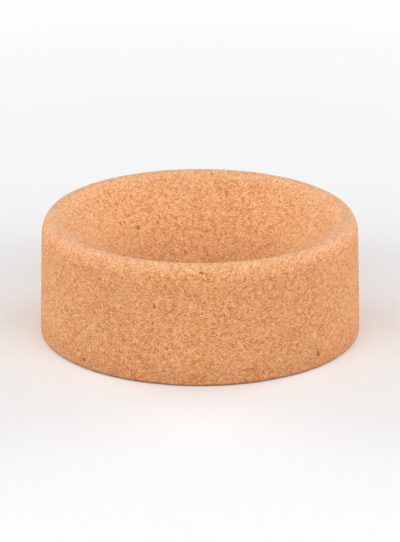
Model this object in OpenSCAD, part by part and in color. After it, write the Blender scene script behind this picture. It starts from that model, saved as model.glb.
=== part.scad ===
// Ring of pressed cork that holds a round-bottomed flask upright on a bench.
//
// It is one solid of revolution. Its section has a flat base, an outer wall that leans in a
// little, a narrow rounded rim, and a flared seat that steepens down to a through bore.
// Every bend of the section is an arc that runs smoothly into its neighbours.
//
// Millimetres. The origin is the centre of the base face, and +Z is up.

/* [Body] */
// Outer diameter, at its widest just above the base
base_d = 80; // [66:1:110]
// Height from the base to the top of the rim
height = 30; // [25:0.5:45]
// Lean of the outer wall towards the axis, in degrees
wall_draft = 1.6; // [0:0.1:4]
// Radius of the rounding round the base, on the outer wall and in the bore
base_edge_r = 0.8; // [0.2:0.1:2]

/* [Rim] */
// Radius of the rim's rounded top
rim_r = 2; // [1:0.1:4]
// Radius of the shoulder between the outer wall and the rim
shoulder_r = 6; // [6:1:30]
// How far the shoulder brings the rim in from the outer wall
shoulder_in = 0.6; // [0.1:0.1:2]

/* [Seat and bore] */
// Diameter of the through bore
bore_d = 30; // [20:1:40]
// Height above the base at which the straight wall of the bore ends
bore_wall = 7.5; // [4:0.5:14]
// Radius of the rounding where the seat turns down into the bore
bore_edge_r = 4; // [1:0.5:6]
// Radius of the seat's convex curve, seen in section
seat_curve_r = 65; // [40:5:200]

/* [Hidden] */

// Furthest that a chord of the section lies inside its arc
arc_tolerance = 0.01;
// Facets round the axis
turn_steps = 180;

base_r = base_d / 2;
bore_r = bore_d / 2;

// Centres of the arcs, each as [distance from the axis, height]
base_edge_centre = [base_r - base_edge_r, base_edge_r];
rim_height = height - rim_r;
rim_back = rim_r + shoulder_in - base_edge_r + (rim_height - base_edge_r) * sin(wall_draft);
rim_centre = [base_edge_centre.x - rim_back / cos(wall_draft), rim_height];
shoulder_centre = along_wall_below(rim_centre, shoulder_r - rim_r, shoulder_in);
bore_edge_centre = [bore_r + bore_edge_r, bore_wall];
seat_centre = meeting_point(rim_centre, seat_curve_r - rim_r, bore_edge_centre, seat_curve_r - bore_edge_r);
bore_base_centre = [bore_r + base_edge_r, base_edge_r];

// Directions in which one arc hands over to the next, in degrees from the outward horizontal
shoulder_to_rim = direction(shoulder_centre, rim_centre);
rim_to_seat = direction(seat_centre, rim_centre);
seat_to_bore_edge = direction(seat_centre, bore_edge_centre);
straight_up = 90;
inward = 180;
straight_down = -90;

function direction(from, to) = atan2(to.y - from.y, to.x - from.x);

// The point at the given distance from p, set back from the outer wall by (distance - inset) more
// than p is, and lower down the wall than p
function along_wall_below(p, distance, inset) =
    let (back = distance - inset, down = sqrt(distance * distance - back * back))
    p - back * [cos(wall_draft), sin(wall_draft)] - down * [-sin(wall_draft), cos(wall_draft)];

// The point at distance reach_p from p and reach_q from q, on the left of the way from p to q
function meeting_point(p, reach_p, q, reach_q) =
    let (
        gap = norm(q - p),
        way = (q - p) / gap,
        along = (reach_p * reach_p - reach_q * reach_q + gap * gap) / (2 * gap),
        across = sqrt(reach_p * reach_p - along * along)
    )
    p + along * way + across * [-way.y, way.x];

// Points along an arc. first = 1 leaves out the point that the arc before it ended on.
function arc(centre, radius, from, to, first = 0) =
    let (steps = ceil((to - from) / (2 * acos(1 - arc_tolerance / radius))))
    [for (i = [first:steps])
        let (a = from + (to - from) * i / steps)
        centre + radius * [cos(a), sin(a)]];

// The section, counter-clockwise from the outer edge of the base. The rim's arc comes in two
// parts that meet at its highest point, so that the height is exact.
function section() = concat(
    arc(base_edge_centre, base_edge_r, straight_down, wall_draft),
    arc(shoulder_centre, shoulder_r, wall_draft, shoulder_to_rim),
    arc(rim_centre, rim_r, shoulder_to_rim, straight_up, first = 1),
    arc(rim_centre, rim_r, straight_up, rim_to_seat, first = 1),
    arc(seat_centre, seat_curve_r, rim_to_seat, seat_to_bore_edge, first = 1),
    arc(bore_edge_centre, bore_edge_r, seat_to_bore_edge, inward, first = 1),
    arc(bore_base_centre, base_edge_r, inward, straight_down + 360)
);

module cork_ring() {
    color([0.89, 0.64, 0.45])
    rotate_extrude($fn = turn_steps)
    polygon(section());
}

cork_ring();
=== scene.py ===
"""The looks of a pressed-cork flask ring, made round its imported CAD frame. Metres, +Z up."""

import math

import bpy
import numpy as np
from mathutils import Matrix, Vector


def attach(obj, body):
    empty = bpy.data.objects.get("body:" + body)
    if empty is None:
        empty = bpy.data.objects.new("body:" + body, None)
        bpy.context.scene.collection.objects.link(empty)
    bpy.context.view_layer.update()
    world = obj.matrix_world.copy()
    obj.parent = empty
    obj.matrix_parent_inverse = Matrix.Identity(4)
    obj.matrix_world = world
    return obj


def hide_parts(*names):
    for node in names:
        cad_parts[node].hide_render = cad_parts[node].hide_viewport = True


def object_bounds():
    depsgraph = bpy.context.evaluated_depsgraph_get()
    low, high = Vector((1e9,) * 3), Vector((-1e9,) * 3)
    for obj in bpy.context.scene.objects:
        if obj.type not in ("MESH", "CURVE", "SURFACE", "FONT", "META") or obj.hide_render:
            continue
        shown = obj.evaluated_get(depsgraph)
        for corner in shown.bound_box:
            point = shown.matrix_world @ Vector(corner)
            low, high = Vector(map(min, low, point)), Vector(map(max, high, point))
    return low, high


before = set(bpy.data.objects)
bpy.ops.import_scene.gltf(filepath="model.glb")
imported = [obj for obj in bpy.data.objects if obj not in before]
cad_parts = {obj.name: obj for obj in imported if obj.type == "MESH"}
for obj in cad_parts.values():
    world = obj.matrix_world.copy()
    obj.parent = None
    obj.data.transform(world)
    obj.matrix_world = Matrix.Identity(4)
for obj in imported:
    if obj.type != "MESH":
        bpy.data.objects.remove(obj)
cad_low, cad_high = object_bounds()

MM = 0.001
NODE = "cork_ring"
PIECE = "pressed_cork"

# Edges of the mesh, where the cork shows and on the face that it stands on
EDGE = 0.415 * MM
BASE_EDGE = 1.3 * MM

# The section's points below this are on that face
FLAT_BASE = 0.02 * MM

# What is left free round each strip of the UV map, as a part of the strip
MAP_MARGIN = 0.01

# How far apart the middles of the grains, specks, flecks and pits lie
COARSE_GRAIN = 0.85 * MM
FINE_GRAIN = 0.36 * MM
DUST = 0.20 * MM
SPECK_SPACING = 0.52 * MM
CHIP_SPACING = 1.3 * MM
FLECK_SPACING = 0.47 * MM
PIT_SPACING = 2.6 * MM
CRACK_SPACING = 1.4 * MM

# How far apart the lumps of the slower changes lie: in the surface, the tone, the hue and the seams
WOBBLE_SPACING = 22 * MM
LUMP_SPACING = 2.6 * MM
CLOUD_SPACING = 9 * MM
PATCH_SPACING = 3.5 * MM
SEAM_PATCH_SPACING = 1.4 * MM

# What makes outlines ragged: the spacing of the noise, and how far it pushes
GRAIN_BEND = (0.5 * MM, 0.4 * MM)
FINE_BEND = (0.16 * MM, 0.14 * MM)
LUMP_BEND = (0.9 * MM, 0.5 * MM)
PIT_BEND = (0.8 * MM, 1.2 * MM)
CRACK_BEND = (9 * MM, 7 * MM)

# The cork was pressed along its axis, so its grains are flatter than they are wide
PRESSED = (1, 1, 1.35)

# Cracks are drawn in a space squeezed by this, so that they come out long and thin
CRACK = (0.60, 1, 0.28)

# How far the surface departs from the CAD shape
WOBBLE = 0.12 * MM
RELIEF = 0.07 * MM
PIT_DEPTH = 0.45 * MM

# The grain that is finer than the mesh
BUMP_STRENGTH = 0.4
BUMP_DEPTH = 0.2 * MM

# Name of the attribute that holds where a point was before the relief moved it
PLACE = "cork_place"

# Colours of the cork, as linear RGB
PALE = (0.945, 0.649, 0.431, 1)
STRAW = (0.887, 0.480, 0.240, 1)
TAN = (0.757, 0.361, 0.149, 1)
BROWN = (0.54, 0.110, 0.0075, 1)
RUST = (0.45, 0.074, 0.004, 1)
BARK = (0.28, 0.041, 0.003, 1)

# The grains' colours, from the darkest tone at 0 to the palest at 1
TONES = {0.0: BARK, 0.20: BROWN, 0.50: TAN, 0.67: STRAW, 0.90: PALE}
MIDDLE_TONE = 0.512

# What the colours are multiplied by where the cork is pinker, and where it is greener
PINKER = (1, 0.94, 1, 1)
GREENER = (1, 1.06, 1, 1)

# How much of its own colour each mark lays over the grains
SEAM_COVER = 0.30
SPECK_COVER = 0.90
FLECK_COVER = 0.80
CHIP_COVER = 0.55
# Painted highlight: the top of the rim painted paler
RIM_HIGHLIGHT_COVER = 0.20
# Painted shade: the foot painted darker
FOOT_SHADE_COVER = 0.19
# The pits: partly darker cork, partly painted shade in the hollows
PIT_DARK_AND_SHADE_COVER = 0.65

# How far down from the top the rim gets a painted highlight, and between which heights the foot gets
# painted shade
RIM_HIGHLIGHT_DEPTH = 3.0 * MM
FOOT_SHADE_TOP = 8.0 * MM
FOOT_SHADE_BOTTOM = 0.5 * MM

# The floor's colour as the camera sees it, and as it throws light back on the ring: warm and dim,
# because in the photo the ring stands on more cork
FLOOR_SEEN = (0.92, 0.92, 0.92, 1)
FLOOR_THROWN = (0.22, 0.13, 0.06, 1)
WHITE = (1, 1, 1, 1)
FLOOR_HALF = 4.0

# How far from the ring's axis the floor starts to fade to white, and where it is white
FADE_START = 0.10
FADE_END = 0.40

# Strength of the even light from all round
AMBIENT = 0.27

# The lamps on the right: the place, the width and height, and the watts
LAMPS = {
    "front": ((1.1, -1.1, 0.65), (1.0, 1.0), 11.0),
    "high": ((0.5, -1.4, 1.0), (1.0, 1.0), 4.5),
    "low": ((1.6, -0.2, 0.35), (1.0, 0.6), 5.8),
    "rear": ((1.3, 0.9, 0.5), (1.0, 0.8), 12.8),
}

# The camera, which looks down by this many degrees
CAMERA_PLACE = (0, -0.644, 0.2461)
CAMERA_PITCH = 19.74
LENS = 181.7
SENSOR = 36


class Graph:
    """Adds nodes to a node tree, so that a field of values reads like a formula."""

    def __init__(self, tree):
        self.tree = tree

    def node(self, kind, inputs=None, **settings):
        made = self.tree.nodes.new(kind)
        for name, value in settings.items():
            setattr(made, name, value)
        for key, value in (inputs or {}).items():
            self.feed(made.inputs[key], value)
        return made

    def feed(self, socket, value):
        if isinstance(value, bpy.types.NodeSocket):
            self.tree.links.new(value, socket)
        else:
            socket.default_value = value

    def math(self, operation, a, b=0.0):
        return self.node("ShaderNodeMath", {0: a, 1: b}, operation=operation).outputs[0]

    def sway(self, shares_and_values, middle=0.0):
        """The middle, moved by each value's distance from 0.5 times its share."""
        total = middle - 0.5 * sum(share for share, value in shares_and_values)
        for share, value in shares_and_values:
            total = self.math("ADD", self.math("MULTIPLY", value, share), total)
        return total

    def vector(self, operation, a, b):
        return self.node("ShaderNodeVectorMath", {0: a, 1: b}, operation=operation).outputs[0]

    def smooth_step(self, value, at_zero, at_one):
        inputs = {"Value": value, "From Min": at_zero, "From Max": at_one}
        return self.node("ShaderNodeMapRange", inputs, interpolation_type="SMOOTHSTEP").outputs[0]

    def noise(self, place, size, detail=2.0, roughness=0.5):
        """Cloudy noise round 0.5, with lumps about that far apart."""
        inputs = {"Vector": place, "Scale": 1 / size, "Detail": detail, "Roughness": roughness}
        return self.node("ShaderNodeTexNoise", inputs)

    def cells(self, place, spacing):
        """Grains about that far apart: the distance to a grain's middle, and three numbers of its own."""
        cells = self.node("ShaderNodeTexVoronoi", {"Vector": place, "Scale": 1 / spacing})
        own = self.node("ShaderNodeSeparateXYZ", {"Vector": cells.outputs["Color"]})
        return cells.outputs["Distance"], own.outputs

    def height(self, place):
        return self.node("ShaderNodeSeparateXYZ", {"Vector": place}).outputs[2]

    def seams(self, place, spacing):
        """How far a point is from the border of its grain, as a part of the spacing."""
        inputs = {"Vector": place, "Scale": 1 / spacing}
        return self.node("ShaderNodeTexVoronoi", inputs, feature="DISTANCE_TO_EDGE").outputs["Distance"]

    def mix(self, share, a, b):
        return self.node("ShaderNodeMix", {0: share, 6: a, 7: b}, data_type="RGBA").outputs[2]

    def cover(self, colour, mask, share, over):
        """The colour, with a share of another laid over it where the mask is 1."""
        return self.mix(self.math("MULTIPLY", mask, share), colour, over)

    def ramp(self, value, stops):
        """The colour at value, from stops given as {place from 0 to 1: colour}."""
        made = self.node("ShaderNodeValToRGB", {"Fac": value})
        line = made.color_ramp.elements
        for spot in list(stops)[2:]:
            line.new(spot)
        for element, (spot, colour) in zip(line, stops.items()):
            element.position = spot
            element.color = colour
        return made.outputs["Color"]


def bent(graph, place, size, amount):
    """The place pushed about by noise, so that what is drawn there has ragged outlines."""
    noise = graph.noise(place, size, detail=1.0)
    push = graph.vector("SUBTRACT", noise.outputs["Color"], (0.5, 0.5, 0.5))
    return graph.vector("ADD", place, graph.vector("MULTIPLY", push, (amount, amount, amount)))


def scattered(graph, place, spacing, share, radius):
    """Blots of several sizes in a share of the cells: 1 in the middle of a blot and 0 between them."""
    distance, own = graph.cells(place, spacing)
    chosen = graph.math("LESS_THAN", own[1], share)
    edge = graph.sway([(0.8 * radius, own[2])], middle=radius)
    blot = graph.smooth_step(distance, edge, graph.math("MULTIPLY", edge, 0.5))
    return graph.math("MULTIPLY", blot, chosen)


def pit_field(graph, place):
    """From 0 on the sanded face to 1 in the pits and short cracks that lost grains have left."""
    ragged = bent(graph, place, *PIT_BEND)
    pits = scattered(graph, ragged, PIT_SPACING, share=0.08, radius=0.17)
    squeezed = graph.vector("MULTIPLY", bent(graph, ragged, *CRACK_BEND), CRACK)
    cracks = scattered(graph, squeezed, CRACK_SPACING, share=0.18, radius=0.16)
    return graph.math("MAXIMUM", pits, cracks)


def relief_tree():
    """Geometry nodes that push each point along its normal, and keep where it was."""
    tree = bpy.data.node_groups.new("cork_relief", "GeometryNodeTree")
    tree.interface.new_socket("Geometry", in_out="INPUT", socket_type="NodeSocketGeometry")
    tree.interface.new_socket("Geometry", in_out="OUTPUT", socket_type="NodeSocketGeometry")
    graph = Graph(tree)
    ring = graph.node("NodeGroupInput").outputs[0]
    place = graph.node("GeometryNodeInputPosition").outputs[0]
    normal = graph.node("GeometryNodeInputNormal").outputs[0]
    wobble = graph.noise(place, WOBBLE_SPACING, detail=0.0).outputs["Fac"]
    lumps = graph.noise(place, LUMP_SPACING, detail=3.0, roughness=0.6).outputs["Fac"]
    own = graph.cells(bent(graph, place, *LUMP_BEND), COARSE_GRAIN)[1]
    swell = graph.sway([(2 * WOBBLE, wobble), (2 * RELIEF, lumps), (RELIEF, own[2])])
    height = graph.math("SUBTRACT", swell, graph.math("MULTIPLY", pit_field(graph, place), PIT_DEPTH))
    lengths = graph.node("ShaderNodeCombineXYZ", {0: height, 1: height, 2: height}).outputs[0]
    offset = graph.vector("MULTIPLY", normal, lengths)
    moved = graph.node("GeometryNodeSetPosition", {"Geometry": ring, "Offset": offset})
    graph.node("NodeGroupOutput", {0: moved.outputs[0]})
    return tree


def section_of(node):
    """The turned node's section as rows of (distance from the axis, height), once round from the base."""
    spots = np.array([vertex.co for vertex in node.data.vertices])
    outline = np.c_[np.hypot(spots[:, 0], spots[:, 1]), spots[:, 2]]
    outline = np.unique(outline.round(5), axis=0)
    middle = (outline.min(0) + outline.max(0)) / 2
    turn = np.arctan2(outline[:, 0] - middle[0], middle[1] - outline[:, 1]) % math.tau
    return outline[np.argsort(turn)]


def even_rows(section):
    """The section in even steps, longer on the base. Returns its rows and the edge length at each."""
    closed = np.vstack([section, section[:1]])
    lengths = np.hypot(*np.diff(closed, axis=0).T)
    flat = np.maximum(closed[:-1, 1], closed[1:, 1]) < FLAT_BASE
    edges = np.where(flat, BASE_EDGE, EDGE)
    reach = np.r_[0, np.cumsum(lengths / (edges * math.sqrt(3) / 2))]
    count = round(reach[-1])
    steps = np.arange(count) * reach[-1] / count
    rows = np.c_[np.interp(steps, reach, closed[:, 0]), np.interp(steps, reach, closed[:, 1])]
    return rows, edges[np.searchsorted(reach, steps, side="right") - 1]


def band(lower, upper):
    """Triangles between two rings of points, which are given as turns. Corners are (ring, index)."""
    ends = np.r_[lower[1:], lower[0] + 1, upper[1:], upper[0] + 1]
    on_lower = np.repeat([True, False], [len(lower), len(upper)])[np.argsort(ends, kind="stable")]
    i = np.cumsum(on_lower) - on_lower
    j = np.cumsum(~on_lower) - ~on_lower
    first = np.c_[np.zeros_like(i), i]
    second = np.c_[~on_lower, np.where(on_lower, i + 1, j + 1)]
    third = np.c_[np.ones_like(j), j]
    return np.stack([first, second, third], axis=1)


def turned_mesh(name, rows, edges):
    """A closed skin of nearly even triangles: the rows of the section, spun round the axis."""
    counts = np.round(math.tau * rows[:, 0] / edges).astype(int)
    turns = [(np.arange(n) + 0.5 * (i % 2)) / n for i, n in enumerate(counts)]
    starts = np.r_[0, np.cumsum(counts)]
    angles = np.concatenate(turns) * math.tau
    spread = np.repeat(rows, counts, axis=0)
    points = np.c_[spread[:, 0] * np.cos(angles), spread[:, 0] * np.sin(angles), spread[:, 1]]
    faces = []
    flat_places = []
    for low in range(len(rows)):
        high = (low + 1) % len(rows)
        corners = band(turns[low], turns[high])
        ring = np.where(corners[:, :, 0] == 0, low, high)
        index = corners[:, :, 1]
        faces.append(starts[ring] + index % counts[ring])
        along = (index + 0.5 * (ring % 2)) / counts[ring]
        flat_places.append(np.stack([along, low + corners[:, :, 0]], axis=2))
    mesh = bpy.data.meshes.new(name)
    mesh.from_pydata(points.tolist(), [], np.concatenate(faces).tolist())
    mesh.shade_smooth()
    add_map(mesh, np.concatenate(flat_places), len(rows))
    return mesh


def add_map(mesh, places, row_count):
    """The skin unrolled into two strips of half a turn each, one above the other."""
    half = np.floor(places[:, :, 0].mean(1) * 2).clip(0, 1)[:, None]
    across = places[:, :, 0] * 2 - half
    up = places[:, :, 1] / row_count
    u = MAP_MARGIN + (1 - 2 * MAP_MARGIN) * across
    v = (half + MAP_MARGIN + (1 - 2 * MAP_MARGIN) * up) / 2
    layer = mesh.uv_layers.new(name="OFBake")
    layer.data.foreach_set("uv", np.stack([u, v], axis=2).ravel().astype(np.float32))


def store_places(mesh):
    """Keeps each point's place in the mesh, where the cork's material looks it up."""
    kept = mesh.attributes.new(PLACE, "FLOAT_VECTOR", "POINT")
    spots = np.empty(len(mesh.vertices) * 3, np.float32)
    mesh.vertices.foreach_get("co", spots)
    kept.data.foreach_set("vector", spots)


def cork_piece(node):
    """The ring's skin, with the relief of its grains and pits worked into the mesh."""
    rows, edges = even_rows(section_of(node))
    mesh = turned_mesh(PIECE, rows, edges)
    store_places(mesh)
    smooth = bpy.data.objects.new(PIECE + "_smooth", mesh)
    bpy.context.scene.collection.objects.link(smooth)
    smooth.modifiers.new("relief", "NODES").node_group = relief_tree()
    depsgraph = bpy.context.evaluated_depsgraph_get()
    rough = bpy.data.meshes.new_from_object(smooth.evaluated_get(depsgraph))
    bpy.data.objects.remove(smooth)
    for vertex in rough.vertices:
        vertex.co.z = max(vertex.co.z, cad_low.z)
    piece = bpy.data.objects.new(PIECE, rough)
    bpy.context.scene.collection.objects.link(piece)
    return piece


def new_material(name):
    material = bpy.data.materials.new(name)
    material.use_nodes = True
    material.node_tree.nodes.clear()
    return material, Graph(material.node_tree)


def grain_colours(graph, place, ragged, fine, dust):
    """The tans of the grains, with dark seams between the coarse ones in patches."""
    coarse = graph.cells(ragged, COARSE_GRAIN)[1]
    cloud = graph.noise(place, CLOUD_SPACING, detail=2.0).outputs["Fac"]
    shares = [(0.10, coarse[0]), (0.32, fine[0]), (0.54, dust), (0.06, cloud)]
    colour = graph.ramp(graph.sway(shares, middle=MIDDLE_TONE), TONES)
    seam = graph.smooth_step(graph.seams(ragged, COARSE_GRAIN), 0.08, 0.02)
    patches = graph.noise(place, SEAM_PATCH_SPACING, detail=0.0).outputs["Fac"]
    patchy = graph.smooth_step(patches, 0.50, 0.62)
    return graph.cover(colour, graph.math("MULTIPLY", seam, patchy), SEAM_COVER, BARK)


def marked(graph, place, ragged, colour):
    """Rust specks, which crowd in patches, pale flecks and larger brown chips over the colour."""
    patches = graph.noise(place, PATCH_SPACING, detail=2.0).outputs["Fac"]
    crowding = graph.sway([(0.55, patches)], middle=0.12)
    specks = scattered(graph, ragged, SPECK_SPACING, share=crowding, radius=0.46)
    flecks = scattered(graph, ragged, FLECK_SPACING, share=0.12, radius=0.42)
    chips = scattered(graph, ragged, CHIP_SPACING, share=0.10, radius=0.30)
    colour = graph.cover(colour, specks, SPECK_COVER, RUST)
    colour = graph.cover(colour, flecks, FLECK_COVER, PALE)
    return graph.cover(colour, chips, CHIP_COVER, BROWN)


def painted_light_and_pits(graph, place, colour):
    """The colour with a painted highlight on the rim, painted shade towards the foot, and pits painted
    darker, partly as darker cork and partly as painted shade.
    """
    height = graph.height(place)
    # Painted highlight: the top of the rim painted paler, where the light falls on it
    rim_highlight = graph.smooth_step(height, cad_high.z - RIM_HIGHLIGHT_DEPTH, cad_high.z)
    # Painted shade: the wall painted darker towards the foot, where the shade falls
    foot_shade = graph.smooth_step(height, FOOT_SHADE_TOP, FOOT_SHADE_BOTTOM)
    colour = graph.cover(colour, rim_highlight, RIM_HIGHLIGHT_COVER, PALE)
    colour = graph.cover(colour, foot_shade, FOOT_SHADE_COVER, BARK)
    # The pits painted dark: partly darker cork, partly painted shade in the hollows
    return graph.cover(colour, pit_field(graph, place), PIT_DARK_AND_SHADE_COVER, BARK)


def cork_material():
    """Pressed cork: grains of several tans, dark seams and bark specks, pale flecks, and pits."""
    material, graph = new_material("pressed_cork")
    place = graph.node("ShaderNodeAttribute", attribute_name=PLACE).outputs["Vector"]
    pressed = graph.vector("MULTIPLY", place, PRESSED)
    ragged = bent(graph, bent(graph, pressed, *GRAIN_BEND), *FINE_BEND)
    fine = graph.cells(ragged, FINE_GRAIN)[1]
    dust = graph.noise(pressed, DUST, detail=1.0, roughness=0.6).outputs["Fac"]
    colour = grain_colours(graph, place, ragged, fine, dust)
    colour = marked(graph, place, ragged, colour)
    colour = painted_light_and_pits(graph, place, colour)
    hue = graph.noise(place, PATCH_SPACING, detail=1.0).outputs["Fac"]
    colour = graph.vector("MULTIPLY", colour, graph.mix(hue, PINKER, GREENER))

    bump = graph.node("ShaderNodeBump", {
        "Height": graph.sway([(0.5, fine[2]), (0.5, dust)], middle=0.5),
        "Strength": BUMP_STRENGTH,
        "Distance": BUMP_DEPTH,
    })
    shader = graph.node("ShaderNodeBsdfPrincipled", {
        "Base Color": colour,
        "Roughness": graph.math("ADD", graph.math("MULTIPLY", fine[1], 0.12), 0.80),
        "Specular IOR Level": 0.28,
        "Sheen Weight": 0.08,
        "Sheen Roughness": 0.5,
        "Normal": bump.outputs[0],
    })
    graph.node("ShaderNodeOutputMaterial", {"Surface": shader.outputs[0]})
    return material


def floor_material():
    """Matt board. The camera sees it white, with the ring's shadow; it throws back less light."""
    material, graph = new_material("pale_floor")
    seen = graph.node("ShaderNodeLightPath").outputs["Is Camera Ray"]
    colour = graph.mix(seen, FLOOR_THROWN, FLOOR_SEEN)
    board = graph.node("ShaderNodeBsdfDiffuse", {"Color": colour})
    white = graph.node("ShaderNodeEmission", {"Color": WHITE, "Strength": 1.0})
    place = graph.node("ShaderNodeTexCoord").outputs["Object"]
    reach = graph.node("ShaderNodeVectorMath", {0: place}, operation="LENGTH").outputs["Value"]
    faded = graph.math("MULTIPLY", graph.smooth_step(reach, FADE_START, FADE_END), seen)
    shader = graph.node("ShaderNodeMixShader", {0: faded, 1: board.outputs[0], 2: white.outputs[0]})
    graph.node("ShaderNodeOutputMaterial", {"Surface": shader.outputs[0]})
    return material


def make_floor():
    half = FLOOR_HALF
    level = cad_low.z
    corners = [(-half, -half, level), (half, -half, level), (half, half, level), (-half, half, level)]
    mesh = bpy.data.meshes.new("floor")
    mesh.from_pydata(corners, [], [(0, 1, 2, 3)])
    mesh.materials.append(floor_material())
    floor = bpy.data.objects.new("floor", mesh)
    bpy.context.scene.collection.objects.link(floor)


def make_world():
    """Even light from all round, which the camera sees as white."""
    world = bpy.data.worlds.new("studio")
    world.use_nodes = True
    world.node_tree.nodes.clear()
    graph = Graph(world.node_tree)
    seen = graph.node("ShaderNodeLightPath").outputs["Is Camera Ray"]
    strength = graph.math("ADD", graph.math("MULTIPLY", seen, 1 - AMBIENT), AMBIENT)
    background = graph.node("ShaderNodeBackground", {"Color": WHITE, "Strength": strength})
    graph.node("ShaderNodeOutputWorld", {"Surface": background.outputs[0]})
    bpy.context.scene.world = world


def softbox(name, place, size, watts):
    """A large rectangular lamp that faces the ring."""
    light = bpy.data.lights.new(name, "AREA")
    light.shape = "RECTANGLE"
    light.size, light.size_y = size
    light.energy = watts
    lamp = bpy.data.objects.new(name, light)
    lamp.location = place
    lamp.rotation_euler = (-Vector(place)).to_track_quat("-Z", "Y").to_euler()
    bpy.context.scene.collection.objects.link(lamp)


def make_lights():
    """The lamps on the right, and the same ones mirrored on the left."""
    for side_name, side in (("left", -1), ("right", 1)):
        for name, (place, size, watts) in LAMPS.items():
            x, y, z = place
            softbox(side_name + "_" + name, (side * x, y, z), size, watts)


def make_camera():
    data = bpy.data.cameras.new("camera")
    data.sensor_width = SENSOR
    data.lens = LENS
    camera = bpy.data.objects.new("camera", data)
    camera.location = CAMERA_PLACE
    camera.rotation_euler = (math.radians(90 - CAMERA_PITCH), 0, 0)
    bpy.context.scene.collection.objects.link(camera)
    bpy.context.scene.camera = camera


bpy.context.scene.view_settings.view_transform = "Standard"
make_camera()
make_world()
make_lights()
make_floor()
ring = cork_piece(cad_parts[NODE])
ring.data.materials.append(cork_material())
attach(ring, "root")
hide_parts(NODE)
